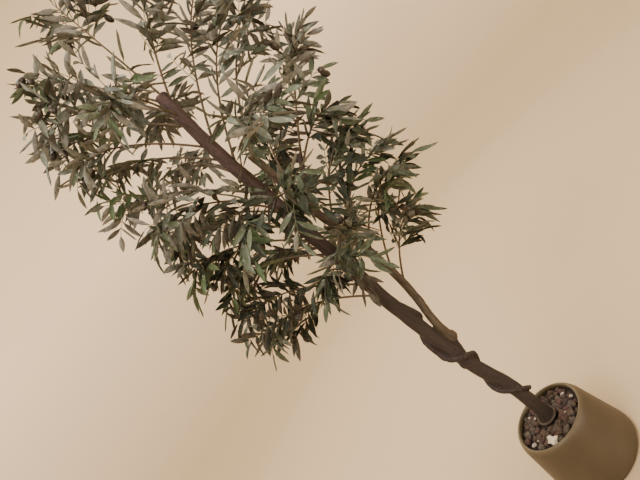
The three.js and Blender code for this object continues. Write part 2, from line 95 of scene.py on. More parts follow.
# Each layer of stones: [height, count, first turn]. Each pale stone: [x, y, size].
STONE_LAYERS = ((182.5, 72, 0.0), (188.5, 68, 1.7))
STONE_RING = (40, 101)
STONE_MOUND = 4
PALE_STONES = (
    (-46, -74, 17.0),
    (94, -20, 6.0),
    (84, 16, 7.0),
    (42, -44, 4.5),
    (-30, 50, 5.0),
    (-39, 74, 5.0),
    (-93, -20, 6.0),
    (-77, -24, 3.5),
)
PALE_STONE_ROOM = 4
STONE_SEED = 271
PALE_LEVEL = 192
LIGHT_STONE_SIZE = 10
DARK_STONE_PAINTS = 4
PALE_SLOT = 4
LIGHT_SLOT = 5

# The brown ring on the stones round the trunk's foot.
COLLAR_PLACE = (1, 8, 196.5)
COLLAR_RADIUS = 30.5
COLLAR_THICKNESS = 4.2
COLLAR_SIDES = 12
COLLAR_STEPS = 48

# Stems and limbs.
STEM_RADIUS = 21.5
STEM_FOOT_RADIUS = 28
FLARE_START = 197
FLARE_HEIGHT = 16
LIMB_END_RADIUS = 17
FORK_HEIGHT = 690
STEM_POINTS = (
    (0, 9, BLOCK_TOP - 10),
    (8, 0, 270),
    (7, 0, 375),
    (-8, 0, 480),
    (-12, 0, 585),
    (-11, 0, 690),
    (-8, -3, 815),
    (2, -20, 940),
    (10, -42, 1065),
    (20, -64, 1190),
    (31, -84, 1315),
    (40, -98, 1440),
    (55, -106, 1555),
    (71, -110, 1662),
)
WINDING_START_RADIUS = 7
WINDING_END_RADIUS = 10
WINDING_FULL_SHARE = 0.625
# Each station: [height, heading, distance off the main stem in winding radii].
WINDING_STATIONS = (
    (302, 6, 1.5),
    (308, -10, 0.9),
    (346, -90, 0.5),
    (392, -180, 1.2),
    (450, -270, 0.6),
    (510, -360, 0.9),
    (546, -450, 0.5),
    (584, -540, 0.9),
    (640, -555, 0.8),
    (684, -630, 0.4),
    (726, -710, 0.4),
    (795, -722, -1.2),
)
RIGHT_RADIUS = 14.5
RIGHT_TIP_RADIUS = 10.5
RIGHT_FORK_POINT = 3
RIGHT_POINTS = (
    (-2, 6, 535),
    (11, 8, 574),
    (21, 8, 612),
    (25, 7, 650),
    (34, 14, 690),
    (52, 29, 742),
    (68, 45, 815),
    (77, 52, 890),
    (83, 42, 970),
    (80, 5, 1052),
    (74, -42, 1130),
    (75, -84, 1215),
    (82, -126, 1300),
    (86, -160, 1380),
)
SIDE_LIMB_RADIUS = 10
SIDE_LIMB_TIP_RADIUS = 7.5
SIDE_LIMB_POINTS = (
    (74, -38, 1122),
    (82, -52, 1176),
    (112, -57, 1220),
    (146, -60, 1252),
    (176, -64, 1286),
)
KNOT_LENGTH = 1.5
# Each knot: [height, heading, distance from the stem's middle, radius].
KNOTS = (
    (598, 5, 40, 13),
    (516, 188, 16, 11),
)
# The first knot has the right stem's bark, out to this distance.
KNOT_STAIN = 20
KNOT_BALL_STEPS = 2
STEM_SIDES, STEM_STEPS = 24, 200
LIMB_SIDES = 16
WINDING_STEPS = 180
RIGHT_STEPS = 140
SIDE_LIMB_STEPS = 50

# Bark: the stems are fused, smoothed and given relief in the grain's direction.
BARK_VOXEL = 2.05
BARK_SMOOTHING = 2
BARK_SMOOTHING_FACTOR = 0.5
BARK_LIFT = 0.5
GRAIN_ACROSS = 9.0
GRAIN_ALONG = 70.0
GRAIN_DEPTH = 1.5
GRAIN_LEVEL = 0.25
FINER_GRAIN = 0.45
FINER_DEPTH = 0.35
LUMP_SIZE = 46.0
LUMP_DEPTH = 1.3
BROWN_BARK, OLIVE_BARK, DEEP_BARK = 0, 1, 2
BARK_TONE_HEIGHTS = (225, 1425)
BARK_SCUFF = (0.11, 0.085, 0.068)
BARK_FOOT_TONE = (0.7, 0.74, 0.58)

# Where the winding stem and the right stem have their own bark.
WINDING_BARK_END = 0.94
WINDING_BARK_STEPS = 160
WINDING_BARK_MARGIN = 2
RIGHT_BARK_START = 0.6
RIGHT_BARK_STEPS = 120
RIGHT_BARK_MARGIN = 3

# Sprays, as in the solids.
FOOT_OFFSET = 0.5
TIP_LEAF_REACH = 80
ARCH = 0.42
SPRAY_RADIUS = 3.6
SPRAY_TIP_RADIUS = 1.5
SPRAY_SIDES = 8
SPRAY_STEPS = 16
TWIGS = 4
LAST_TWIG_SHARE = 0.88
TWIG_LENGTH = 0.34
TWIG_SHORTENING = 0.5
TWIG_LENGTHS = (0.8, 1.15)
TWIG_OPEN = 40
TWIG_ROLL = 0.9
TWIG_CHECKS = (0.3, 0.5, 0.75, 1)
LEAF_DROOP = 0.18
OWN_SPACE = 3
LIMB_SPACE = 5
LIMB_STATIONS = 90
SPINE_POINTS = 8
TWIG_SEED = 4801
SEED_STEP = 97

# Finer twigs, between the ones that the solids have.
FINE_TWIGS = 8
FINE_TWIG_LAST_SHARE = 0.95
FINE_TWIG_LENGTH = 0.38
FINE_TWIG_SEED = 9103
TWIG_RADIUS = 1.3
TWIG_TIP_RADIUS = 0.6
TWIG_SIDES = 5
TWIG_STEPS = 5
TWIG_SAG = 0.1

# Leaves: opposite pairs, each pair turned a little from the one before.
LEAF_LENGTH = 80
LEAF_LENGTHS = (0.78, 1.12)
LEAF_WIDTH = 17
LEAF_OPEN = (32, 58)
# Each row across a leaf: [share of its length, share of its half width].
LEAF_STATIONS = ((0.15, 0.36), (0.37, 0.93), (0.61, 1.0), (0.83, 0.62))
LEAF_FOLD = 0.24
LEAF_CURL = 0.45
LEAF_CURLS = (-0.25, 1.0)
LEAF_SICKLE = 0.42
LEAF_SICKLES = (-1.0, 0.3)
LEAF_WIDTHS = (0.85, 1.1)
LEAF_TILT = 1.0
LEAST_TWIST = 0.3
LEAF_STALK = 0.05
LEAF_THICKNESS = 0.5

# A leaf that isn't clear of its neighbours is turned on a few times and then left out.
LEAF_OVERREACH = 12
LEAF_OVERLAP = 22
LEAF_LIMB_SPACE = 2
LEAF_TRIES = 4
LEAF_TRY_TURN = 0.45

# Pairs along a twig or stem.
PAIR_SPACING = 25
HEART_PAIR_SPACING = 21
PAIR_ROLL = 1.3
PAIR_JITTER = 0.3
STEM_PAIR_SPACING = 25
LAST_PAIR_SHARE = 0.97
LAST_PAIR_SIZE = 0.82
PAIR_STAGGER = 0.4
TWIG_BARE_SHARE = 0.2
TWIG_LEAF_SIZES = (0.85, 1.05)
STEM_LEAF_SIZE = 1.05
TIP_LEAF_OPEN = 10
TIP_LEAF_PLACE = 0.99
TIP_LEAF_SIZE = 0.85
LEAF_SEED = 7703

# A spray whose middle lies above the crown height has the crown's shades. Each list
# holds places in LEAF_TOPS and LEAF_UNDERS, as often as the shade is drawn.
CROWN_HEIGHT = 1400
# Painted light and shade: the crown's list draws more of the light grey olive, the heart's
# mostly the dark deep olive, and the right limbs' list some deep olive and little grey olive.
CROWN_LEAVES_PAINTED_LIGHT = (0, 0, 3, 3, 3, 3, 1, 2)
HEART_LEAVES_PAINTED_SHADE = (1, 1, 1, 1, 1, 0, 0, 0, 2)
RIGHT_LEAVES_PAINTED_SHADE = (1, 0, 0, 1, 0, 0, 0, 3, 2)
LEAF_DARKER, LEAF_LIGHTER = 0.72, 1.25
LEAF_SHEEN = 0.25
SHEEN = 0.4

# Olives hang on short stalks.
OLIVE_LENGTH = 29
OLIVE_WIDTH = 18.5
OLIVE_SIZES = (0.86, 1.08)
OLIVE_NARROWING = 0.12
OLIVE_STALK = 16
OLIVE_STALK_RADII = (0.7, 0.7, 0.9)
OLIVE_STALK_SIDES = 5
OLIVE_HANG = 0.8
OLIVE_OPEN = 60
OLIVE_PLACES = (0.85, 1.0)
OLIVE_SEED = 3301

# Each spray: [name, limb, share of the limb, heading and rise in degrees, reach to its
# furthest leaf, olives, bare share of its stem]. Heading 0 is +X and 90 is +Y.
SPRAYS = (
    ("crown_tip", "left", 1.0, 70, 80, 475, 1, 0.6),
    ("crown_left", "left", 0.98, 195, 60, 380, 3, 0.4),
    ("crown_far_left", "left", 0.945, 195, 40, 390, 2, 0.45),
    ("crown_near_left", "left", 0.915, 250, 15, 330, 0, 0.3),
    ("crown_right", "left", 0.96, 350, 45, 400, 0, 0.3),
    ("crown_back", "left", 0.925, 120, 48, 390, 0, 0.4),
    ("upper_left", "left", 0.885, 170, 43, 410, 1, 0.4),
    ("upper_back", "left", 0.86, 92, 30, 420, 0, 0.3),
    ("upper_left_front", "left", 0.8, 190, 45, 400, 1, 0.4),
    ("upper_right", "left", 0.79, 10, 42, 535, 1, 0.3),
    ("upper_right_front", "left", 0.71, 342, 36, 470, 0, 0.35),
    ("upper_left_back", "left", 0.75, 165, 45, 420, 0, 0.4),
    ("middle_back", "left", 0.68, 112, 34, 440, 0, 0.35),
    ("middle_left", "left", 0.62, 184, 46, 440, 1, 0.35),
    ("middle_left_low", "left", 0.58, 207, 36, 390, 0, 0.35),
    ("middle_front", "left", 0.53, 252, 8, 380, 1, 0.2),
    ("middle_left_back", "left", 0.54, 158, 36, 410, 0, 0.35),
    ("middle_right_back", "left", 0.47, 70, 30, 460, 0, 0.35),
    ("low_left_front", "left", 0.42, 198, 40, 410, 2, 0.35),
    ("low_left", "left", 0.36, 172, 30, 390, 1, 0.3),
    ("low_front_left", "left", 0.27, 250, 22, 270, 0, 0.12),
    ("low_back", "left", 0.3, 112, 28, 430, 0, 0.35),
    ("hem_left_back", "left", 0.22, 170, 38, 420, 0, 0.4),
    ("hem_left_front", "left", 0.17, 198, 36, 420, 2, 0.4),
    ("hem_right", "right", 0.29, 350, 34, 300, 0, 0.35),
    ("hem_right_front", "right", 0.36, 328, 42, 390, 1, 0.45),
    ("hem_back", "right", 0.4, 82, 24, 410, 0, 0.35),
    ("low_right", "right", 0.57, 356, 20, 340, 0, 0.3),
    ("low_right_front", "right", 0.47, 336, 20, 360, 1, 0.3),
    ("low_front", "right", 0.54, 258, 2, 370, 1, 0.15),
    ("middle_right", "right", 0.65, 344, 30, 350, 0, 0.25),
    ("middle_front_right", "right", 0.74, 266, 8, 430, 1, 0.3),
    ("middle_right_rear", "right", 0.82, 58, 36, 430, 0, 0.35),
    ("upper_front", "right", 0.96, 285, 4, 370, 0, 0.35),
    ("high_right", "right", 1.0, 16, 35, 490, 1, 0.4),
    ("side_low", "side", 0.8, 332, 12, 245, 0, 0.3),
    ("side_high", "side", 0.98, 352, 40, 375, 2, 0.35),
)

# Camera at the photograph's place, in millimetres, rolled on its axis.
CAMERA_PLACE = (18, -1456, 1225)
CAMERA_PITCH = -5.25
CAMERA_ROLL = -53.35
CAMERA_LENS = 28.125
CAMERA_SENSOR = 36

# Studio. Each light: [name, place and size in metres, power in watts].
STUDIO_RADIUS = 6000
STUDIO_ROUND = 2000
STUDIO_HEIGHT = 7000
STUDIO_ROUND_STEPS = 16
STUDIO_SIDES = 128
# The wall is painted lighter from the lower height to the higher one: painted light.
STUDIO_PAINTED_LIGHT_HEIGHTS = (300, 2800)
STUDIO_LIGHTS = (
    ("key", (-1.8, -2.6, 4.2), 2.4, 210),
    ("fill", (2.6, -3.4, 1.6), 2.4, 110),
    ("back", (0.6, 3.6, 4.0), 3.0, 150),
    ("top", (0.0, 0.2, 6.4), 4.0, 400),
)
LIGHT_AIM = (0, 0, 1.1)
LIGHT_COLOUR = (1.0, 0.93, 0.84)
WORLD_COLOUR = (0.9, 0.85, 0.78)
WORLD_STRENGTH = 0.35

UP = np.array((0.0, 0.0, 1.0))


def mix(start, end, share):
    return start + (end - start) * share


def unit(vector):
    return vector / np.linalg.norm(vector)


def make_random(seed):
    """Seeded random numbers from 0 to 1, the same ones as in the solids."""
    state = seed

    def draw():
        nonlocal state
        state = state * RANDOM_FACTOR % RANDOM_MODULUS
        return state / RANDOM_MODULUS

    return draw


def direction(heading, rise):
    level = cos(radians(rise))
    heading = radians(heading)
    return np.array((level * cos(heading), level * sin(heading), sin(radians(rise))))


class Curve:
    """A curve given by a function of a share from 0 to 1."""

    def __init__(self, point_at):
        self.point = point_at

    def tangent(self, share):
        before = max(share - TANGENT_STEP, 0)
        after = min(share + TANGENT_STEP, 1)
        return unit(self.point(after) - self.point(before))

    def points(self, count):
        return np.array([self.point(i / count) for i in range(count + 1)])

    def stretch(self, start, end):
        return Curve(lambda share: self.point(mix(start, end, share)))


def smooth_curve(points):
    """The uniform Catmull-Rom curve through points."""
    knots = np.array(points, float)
    last = len(knots) - 1

    def point_at(share):
        place = min(max(share, 0), 1) * last
        i = min(floor(place), last - 1)
        t = place - i
        p1, p2 = knots[i], knots[i + 1]
        p0 = knots[i - 1] if i > 0 else 2 * p1 - p2
        p3 = knots[i + 2] if i + 2 <= last else 2 * p2 - p1
        v1, v2 = (p2 - p0) / 2, (p3 - p1) / 2
        cubic = (2 * p1 - 2 * p2 + v1 + v2) * t ** 3
        return cubic + (3 * p2 - 3 * p1 - 2 * v1 - v2) * t ** 2 + v1 * t + p1

    return Curve(point_at)


def bezier(foot, bend, tip):
    def point_at(share):
        rest = 1 - share
        return rest * rest * foot + 2 * rest * share * bend + share * share * tip

    return Curve(point_at)


class Pieces:
    """Vertices and faces of many small things that become one mesh."""

    def __init__(self):
        self.vertices = []
        self.faces = []
        self.slots = []

    def add(self, vertices, faces, slot=0):
        base = len(self.vertices)
        self.vertices.extend(tuple(vertex) for vertex in vertices)
        self.faces.extend(tuple(base + corner for corner in face) for face in faces)
        self.slots.extend([slot] * len(faces))

    def build(self, name, *materials):
        mesh = bpy.data.meshes.new(name)
        scaled = (np.array(self.vertices) * MM).tolist()
        mesh.from_pydata(scaled, [], self.faces)
        for material in materials:
            mesh.materials.append(material)
        mesh.polygons.foreach_set("material_index", self.slots)
        mesh.polygons.foreach_set("use_smooth", [True] * len(self.faces))
        mesh.update()
        piece = bpy.data.objects.new(name, mesh)
        bpy.context.scene.collection.objects.link(piece)
        return piece


def add_tube(pieces, centres, radii, sides, slot=0):
    """A closed tube along points, with a frame that is carried from ring to ring."""
    centres = np.asarray(centres, float)
    along = np.gradient(centres, axis=0)
    side = np.cross(along[0], UP)
    if np.linalg.norm(side) < SMALLEST_SIDE:
        side = np.array((1.0, 0.0, 0.0))
    vertices = []
    turns = [2 * pi * k / sides for k in range(sides)]
    for centre, way, radius in zip(centres, along, radii):
        way = unit(way)
        side = unit(side - way * side.dot(way))
        lift = np.cross(way, side)
        for turn in turns:
            vertices.append(centre + radius * (cos(turn) * side + sin(turn) * lift))
    faces = []
    for ring in range(len(centres) - 1):
        for k in range(sides):
            a, b = ring * sides + k, ring * sides + (k + 1) % sides
            faces.append((a, b, b + sides, a + sides))
    top = (len(centres) - 1) * sides
    faces.append(tuple(range(sides - 1, -1, -1)))
    faces.append(tuple(range(top, top + sides)))
    pieces.add(vertices, faces, slot)


def ball(steps):
    """Vertices and faces of a unit ball of triangles."""
    form = bmesh.new()
    bmesh.ops.create_icosphere(form, subdivisions=steps, radius=1)
    vertices = np.array([vertex.co[:] for vertex in form.verts])
    faces = [tuple(vertex.index for vertex in face.verts) for face in form.faces]
    form.free()
    return vertices, faces


SMALL_BALL = ball(BALL_STEPS)


def add_lathe(pieces, outline, sides, slot=0):
    """A body of revolution from [radius, height] points that start and end on the axis."""
    rings = outline[1:-1]
    vertices = [(0, 0, outline[0][1])]
    for radius, height in rings:
        for k in range(sides):
            turn = 2 * pi * k / sides
            vertices.append((radius * cos(turn), radius * sin(turn), height))
    end = len(vertices)
    vertices.append((0, 0, outline[-1][1]))
    faces = []
    for k in range(sides):
        after = (k + 1) % sides
        faces.append((0, 1 + after, 1 + k))
        for ring in range(len(rings) - 1):
            low, high = 1 + ring * sides, 1 + (ring + 1) * sides
            faces.append((low + k, low + after, high + after, high + k))
        top = 1 + (len(rings) - 1) * sides
        faces.append((top + k, top + after, end))
    pieces.add(vertices, faces, slot)


def round_off(start, corner, end):
    """Points of a quadratic corner, without its first one."""
    points = []
    for i in range(1, ROUND_STEPS + 1):
        t = i / ROUND_STEPS
        weights = ((1 - t) ** 2, 2 * t * (1 - t), t ** 2)
        radius = sum(w * p[0] for w, p in zip(weights, (start, corner, end)))
        height = sum(w * p[1] for w, p in zip(weights, (start, corner, end)))
        points.append((radius, height))
    return points


def pot_outline():
    inside = MOUTH_RADIUS - WALL
    lip = (MOUTH_RADIUS - WALL / 2, POT_HEIGHT)
    underside, foot = (UNDERSIDE_RADIUS, 0), (FOOT_RADIUS, FOOT_ROUND)
    shoulder = (SHOULDER_RADIUS, POT_HEIGHT - SHOULDER_ROUND)
    outline = [(0, 0), underside]
    outline += round_off(underside, (FOOT_RADIUS, 0), foot)
    for i in range(1, ROUND_STEPS):
        share = i / ROUND_STEPS
        outline.append((mix(foot[0], shoulder[0], share), mix(foot[1], shoulder[1], share)))
    outline.append(shoulder)
    outline += round_off(shoulder, (MOUTH_RADIUS, POT_HEIGHT), lip)
    outline += round_off(lip, (inside, POT_HEIGHT), (inside, LIP_FOOT))
    outline += [(inner_radius(POT_FLOOR), POT_FLOOR), (0, POT_FLOOR)]
    return outline


def inner_radius(height):
    return mix(FOOT_RADIUS - WALL, MOUTH_RADIUS - WALL, height / LIP_FOOT)


# Limbs.
main_stem = smooth_curve(STEM_POINTS)
right_stem = smooth_curve(RIGHT_POINTS)
side_limb = smooth_curve(SIDE_LIMB_POINTS)


def stem_share_at(height):
    above = next(i for i, point in enumerate(STEM_POINTS) if point[2] >= height)
    above = max(above, 1)
    low, high = STEM_POINTS[above - 1][2], STEM_POINTS[above][2]
    return (above - 1 + (height - low) / (high - low)) / (len(STEM_POINTS) - 1)


def stem_radius(height):
    flare = exp(-max(height - FLARE_START, 0) / FLARE_HEIGHT)
    top = STEM_POINTS[-1][2]
    climb = min(max((height - FORK_HEIGHT) / (top - FORK_HEIGHT), 0), 1)
    return mix(STEM_RADIUS, LIMB_END_RADIUS, climb) + (STEM_FOOT_RADIUS - STEM_RADIUS) * flare


def winding_radius(share):
    grown = min(share / WINDING_FULL_SHARE, 1)
    return mix(WINDING_START_RADIUS, WINDING_END_RADIUS, grown)


winding_stations = smooth_curve(WINDING_STATIONS)


def winding_point(share):
    height, heading, stand_off = winding_stations.point(share)
    out = STEM_RADIUS + stand_off * winding_radius(share)
    return main_stem.point(stem_share_at(height)) + direction(heading, 0) * out


winding = Curve(winding_point)
right_fork_share = RIGHT_FORK_POINT / (len(RIGHT_POINTS) - 1)


def main_stem_radius(share):
    return stem_radius(main_stem.point(share)[2])


def left_limb_radius(share):
    return mix(STEM_RADIUS, LIMB_END_RADIUS, share)


def right_stem_radius(share):
    return mix(RIGHT_RADIUS, RIGHT_TIP_RADIUS, share)


def side_limb_radius(share):
    return mix(SIDE_LIMB_RADIUS, SIDE_LIMB_TIP_RADIUS, share)


LIMBS = {
    "left": (main_stem.stretch(stem_share_at(FORK_HEIGHT), 1), left_limb_radius),
    "right": (right_stem.stretch(right_fork_share, 1), right_stem_radius),
    "side": (side_limb, side_limb_radius),
}

limb_stations = []
limb_station_radii = []
for limb_curve, limb_radius in (
    (main_stem, STEM_RADIUS),
    (right_stem, RIGHT_RADIUS),
    (side_limb, SIDE_LIMB_RADIUS),
):
    limb_stations.extend(limb_curve.points(LIMB_STATIONS))
    limb_station_radii.extend([limb_radius] * (LIMB_STATIONS + 1))
limb_stations = np.array(limb_stations)
limb_station_radii = np.array(limb_station_radii)


def clear_of_limbs(point, space):
    away = np.linalg.norm(limb_stations - point, axis=1)
    return bool((away > limb_station_radii + space).all())


def spray_curve(row):
    _, limb, share, heading, rise, reach, _, _ = row
    curve, radius_at = LIMBS[limb]
    foot = curve.point(share) + direction(heading, 0) * radius_at(share) * FOOT_OFFSET
    out = direction(heading, rise)
    length = reach - TIP_LEAF_REACH
    bend = foot + out * length / 2
    bend = bend + curve.tangent(share) * length * ARCH * cos(radians(rise)) ** 2
    return bezier(foot, bend, foot + out * length)


spray_curves = [spray_curve(row) for row in SPRAYS]
spines = np.array([curve.points(SPINE_POINTS) for curve in spray_curves])
spine_starts = spines[:, :-1]
spine_steps = spines[:, 1:] - spines[:, :-1]
spine_squares = (spine_steps ** 2).sum(axis=2)


def spine_distances(point):
    """The distance from a point to each spray's stem."""
    share = ((point - spine_starts) * spine_steps).sum(axis=2) / spine_squares
    nearest = spine_starts + spine_steps * np.clip(share, 0, 1)[..., None]
    return np.linalg.norm(nearest - point, axis=2).min(axis=1)


def in_own_space(point, order, space):
    away = spine_distances(point)
    own = away[order]
    away[order] = np.inf
    return bool(away.min() > own + 2 * space)


def in_reach(point):
    low, high = SOLIDS_LOW - LEAF_OVERREACH, SOLIDS_HIGH + LEAF_OVERREACH
    return bool((point > low).all() and (point < high).all())


def leaf_direction(along, opening, roll):
    side = unit(np.cross(along, UP))
    lift = np.cross(side, along)
    out = along * cos(radians(opening))
    out = out + side * sin(radians(opening)) * cos(roll)
    out = out + lift * sin(radians(opening)) * sin(roll)
    out[2] -= LEAF_DROOP
    return unit(out)


def free_for_twig(point, order):
    return clear_of_limbs(point, LIMB_SPACE) and in_own_space(point, order, OWN_SPACE)


def twig_row(order, count, shares, length_share, seed, first_turn):
    """Side twigs of a spray that keep to its space, as curves that sag a little."""
    random = make_random(seed + SEED_STEP * order)
    curve = spray_curves[order]
    reach = SPRAYS[order][5]
    twigs = []
    for i in range(count):
        share = mix(*shares, i / (count - 1))
        roll = pi * ((i + first_turn) % 2) + mix(-TWIG_ROLL, TWIG_ROLL, random())
        shorter = mix(1, TWIG_SHORTENING, share) * mix(*TWIG_LENGTHS, random())
        length = reach * length_share * shorter
        start = curve.point(share)
        out = leaf_direction(curve.tangent(share), TWIG_OPEN, roll)
        end = start + out * length
        if all(free_for_twig(mix(start, end, part), order) for part in TWIG_CHECKS):
            middle = (start + end) / 2 + UP * length * TWIG_SAG
            twigs.append((bezier(start, middle, end), length))
    return twigs


def leaf_form():
    """Vertices and faces of one side of a leaf of length 1 and half width 1, along X:
    a root point, rows across that widen and narrow, and a tip."""
    places = [(0.0, 0.0, 0.0)]
    for along, half_width in LEAF_STATIONS:
        places += [(along, half_width, 0.0), (along, 0.0, 1.0), (along, -half_width, 0.0)]
    places.append((1.0, 0.0, 0.0))
    rows = len(LEAF_STATIONS)
    faces = [(0, 2, 1), (0, 3, 2)]
    for row in range(rows - 1):
        a, b = 1 + 3 * row, 4 + 3 * row
        faces += [(a, a + 1, b + 1, b), (a + 1, a + 2, b + 2, b + 1)]
    last, tip = 1 + 3 * (rows - 1), 1 + 3 * rows
    faces += [(last, last + 1, tip), (last + 1, last + 2, tip)]
    return np.array(places), faces


LEAF_PLACES, LEAF_FACES = leaf_form()
LEAF_UNDER_FACES = [tuple(reversed(face)) for face in LEAF_FACES]


def add_leaf(pieces, root, along, out, length, width, random, shade):
    """A folded, curling leaf with an upper and an under side, in a shade's two slots."""
    tilt = mix(-LEAF_TILT, LEAF_TILT, random())
    curl = mix(*LEAF_CURLS, random()) * LEAF_CURL
    sickle = mix(*LEAF_SICKLES, random()) * LEAF_SICKLE
    normal = np.cross(along, out)
    if np.linalg.norm(normal) < LEAST_TWIST:
        normal = UP
    forward = unit(np.cross(out, normal))
    wide = forward * cos(tilt) + np.cross(forward, out) * sin(tilt)
    up = np.cross(wide, out)
    if up[2] < 0:
        wide, up = -wide, -up
    share, half, middle = LEAF_PLACES.T
    bend = forward * sickle - up * curl
    top = root + np.outer(share * length, out) + np.outer(share ** 2 * length, bend)
    top = top + np.outer(half * width / 2, wide) - np.outer(middle * LEAF_FOLD * width, up)
    under = top - up * LEAF_THICKNESS
    pieces.add(top, LEAF_UNDER_FACES, 2 * shade)
    pieces.add(under, LEAF_FACES, 2 * shade + 1)


def grow_pairs(pieces, order, curve, length, start, spacing, random, shade, size):
    """Opposite pairs of leaves along a twig or stem, and one leaf at its tip."""
    count = max(int(length * (1 - start) / spacing), 1)
    plane = mix(-PAIR_ROLL, PAIR_ROLL, random())
    for i in range(count):
        roll = plane + mix(-PAIR_JITTER, PAIR_JITTER, random())
        share = mix(start, LAST_PAIR_SHARE, (i + PAIR_STAGGER * random()) / count)
        point, along = curve.point(share), curve.tangent(share)
        grown = size * mix(1.0, LAST_PAIR_SIZE, share)
        for turn in (0, pi):
            opening = mix(*LEAF_OPEN, random())
            try_leaf(pieces, order, point, along, opening, roll + turn, random, shade, grown)
    point, along = curve.point(TIP_LEAF_PLACE), curve.tangent(1)
    roll = mix(0, 2 * pi, random())
    grown = size * TIP_LEAF_SIZE
    try_leaf(pieces, order, point, along, TIP_LEAF_OPEN, roll, random, shade, grown)


def try_leaf(pieces, order, point, along, opening, roll, random, shade, size):
    """A leaf is turned on round its twig until it is clear of the limbs and of other
    sprays, and within the solids' reach."""
    length = LEAF_LENGTH * size * mix(*LEAF_LENGTHS, random())
    width = LEAF_WIDTH * sqrt(size) * mix(*LEAF_WIDTHS, random())
    for i in range(LEAF_TRIES):
        out = leaf_direction(along, opening, roll + LEAF_TRY_TURN * i)
        root = point + out * LEAF_STALK * length
        tip = root + out * length
        checked = (tip, mix(root, tip, 0.5))
        clear = all(clear_of_limbs(place, LEAF_LIMB_SPACE) for place in checked)
        if clear and in_own_space(tip, order, -LEAF_OVERLAP) and in_reach(tip):
            add_leaf(pieces, point, along, out, length, width, random, shade)
            return


def add_olive(olives, twigs, place, stalk_way, random):
    """An olive on a short stalk that bends down."""
    hang = unit(stalk_way - UP * OLIVE_HANG)
    middle = place + stalk_way * OLIVE_STALK * 0.5
    end = middle + hang * OLIVE_STALK * 0.5
    add_tube(twigs, [place, middle, end], OLIVE_STALK_RADII, OLIVE_STALK_SIDES, 1)
    scale = mix(*OLIVE_SIZES, random())
    forms, faces = SMALL_BALL
    long_way = Vector(hang).to_track_quat("Z", "X").to_matrix()
    radii = np.array((OLIVE_WIDTH / 2, OLIVE_WIDTH / 2, OLIVE_LENGTH / 2)) * scale
    narrowed = forms * radii
    narrowed[:, :2] *= 1 - OLIVE_NARROWING * forms[:, 2:] ** 2
    centre = end + hang * OLIVE_LENGTH / 2 * scale
    olives.add(narrowed @ np.array(long_way).T + centre, faces)


class Paint:
    """A node material that is built up step by step."""

    def __init__(self, name, colour, roughness):
        self.material = bpy.data.materials.new(name)
        self.material.use_nodes = True
        self.nodes = self.material.node_tree.nodes
        self.links = self.material.node_tree.links
        self.shader = self.nodes["Principled BSDF"]
        self.shader.inputs["Base Color"].default_value = (*colour, 1)
        self.shader.inputs["Roughness"].default_value = roughness
        self.shader.inputs["Specular IOR Level"].default_value = SHEEN

    def place(self, scale=(1, 1, 1)):
        coordinates = self.nodes.new("ShaderNodeTexCoord")
        mapping = self.nodes.new("ShaderNodeMapping")
        mapping.inputs["Scale"].default_value = scale
        self.links.new(coordinates.outputs["Object"], mapping.inputs["Vector"])
        return mapping.outputs["Vector"]

    def noise(self, vector, scale, detail=4.0, rough=0.55):
        texture = self.nodes.new("ShaderNodeTexNoise")
        texture.inputs["Scale"].default_value = scale
        texture.inputs["Detail"].default_value = detail
        texture.inputs["Roughness"].default_value = rough
        self.links.new(vector, texture.inputs["Vector"])
        return texture.outputs["Fac"]

    def height_share(self, low, high):
        """0 at the low height and 1 at the high one."""
        parts = self.nodes.new("ShaderNodeSeparateXYZ")
        self.links.new(self.place(), parts.inputs["Vector"])
        node = self.nodes.new("ShaderNodeMapRange")
        node.inputs["From Min"].default_value = low * MM
        node.inputs["From Max"].default_value = high * MM
        self.links.new(parts.outputs["Z"], node.inputs["Value"])
        return node.outputs["Result"]

    def ramp(self, factor, *stops):
        ramp = self.nodes.new("ShaderNodeValToRGB")
        elements = ramp.color_ramp.elements
        while len(elements) < len(stops):
            elements.new(0.5)
        for element, (position, colour) in zip(elements, stops):
            element.position = position
            element.color = (*colour, 1)
        self.links.new(factor, ramp.inputs["Fac"])
        return ramp.outputs["Color"]

    def blend(self, factor, first, second, mode="MIX"):
        node = self.nodes.new("ShaderNodeMix")
        node.data_type = "RGBA"
        node.blend_type = mode
        if isinstance(factor, float):
            node.inputs["Factor"].default_value = factor
        else:
            self.links.new(factor, node.inputs["Factor"])
        self.links.new(first, node.inputs["A"])
        self.links.new(second, node.inputs["B"])
        return node.outputs["Result"]

    def colour(self, output):
        self.links.new(output, self.shader.inputs["Base Color"])

    def rough(self, factor, low, high):
        node = self.nodes.new("ShaderNodeMapRange")
        node.inputs["To Min"].default_value = low
        node.inputs["To Max"].default_value = high
        self.links.new(factor, node.inputs["Value"])
        self.links.new(node.outputs["Result"], self.shader.inputs["Roughness"])

    def bump(self, factor, strength, distance):
        node = self.nodes.new("ShaderNodeBump")
        node.inputs["Strength"].default_value = strength
        node.inputs["Distance"].default_value = distance
        self.links.new(factor, node.inputs["Height"])
        self.links.new(node.outputs["Normal"], self.shader.inputs["Normal"])


def pot_paint():
    paint = Paint("pot khaki", (0.066, 0.05, 0.029), 0.48)
    place = paint.place()
    broad = paint.noise(place, scale=7, detail=3, rough=0.5)
    fine = paint.noise(place, scale=260, detail=3, rough=0.6)
    cloud = paint.ramp(broad, (0.3, (0.048, 0.037, 0.0215)), (0.72, (0.07, 0.053, 0.0315)))
    speck = paint.ramp(fine, (0.42, (0.8, 0.8, 0.8)), (0.6, (1.05, 1.04, 1.02)))
    # A painted highlight: the pot grows lighter towards its lip.
    climb = paint.height_share(*RIM_HIGHLIGHT_HEIGHTS)
    painted_rim_highlight = paint.ramp(climb, (0.0, (1.0, 1.0, 1.0)), (1.0, (1.45, 1.5, 1.4)))
    body = paint.blend(0.55, cloud, speck, "MULTIPLY")
    paint.colour(paint.blend(1.0, body, painted_rim_highlight, "MULTIPLY"))
    paint.rough(broad, low=0.42, high=0.6)
    paint.bump(fine, strength=0.12, distance=0.0006)
    return paint.material


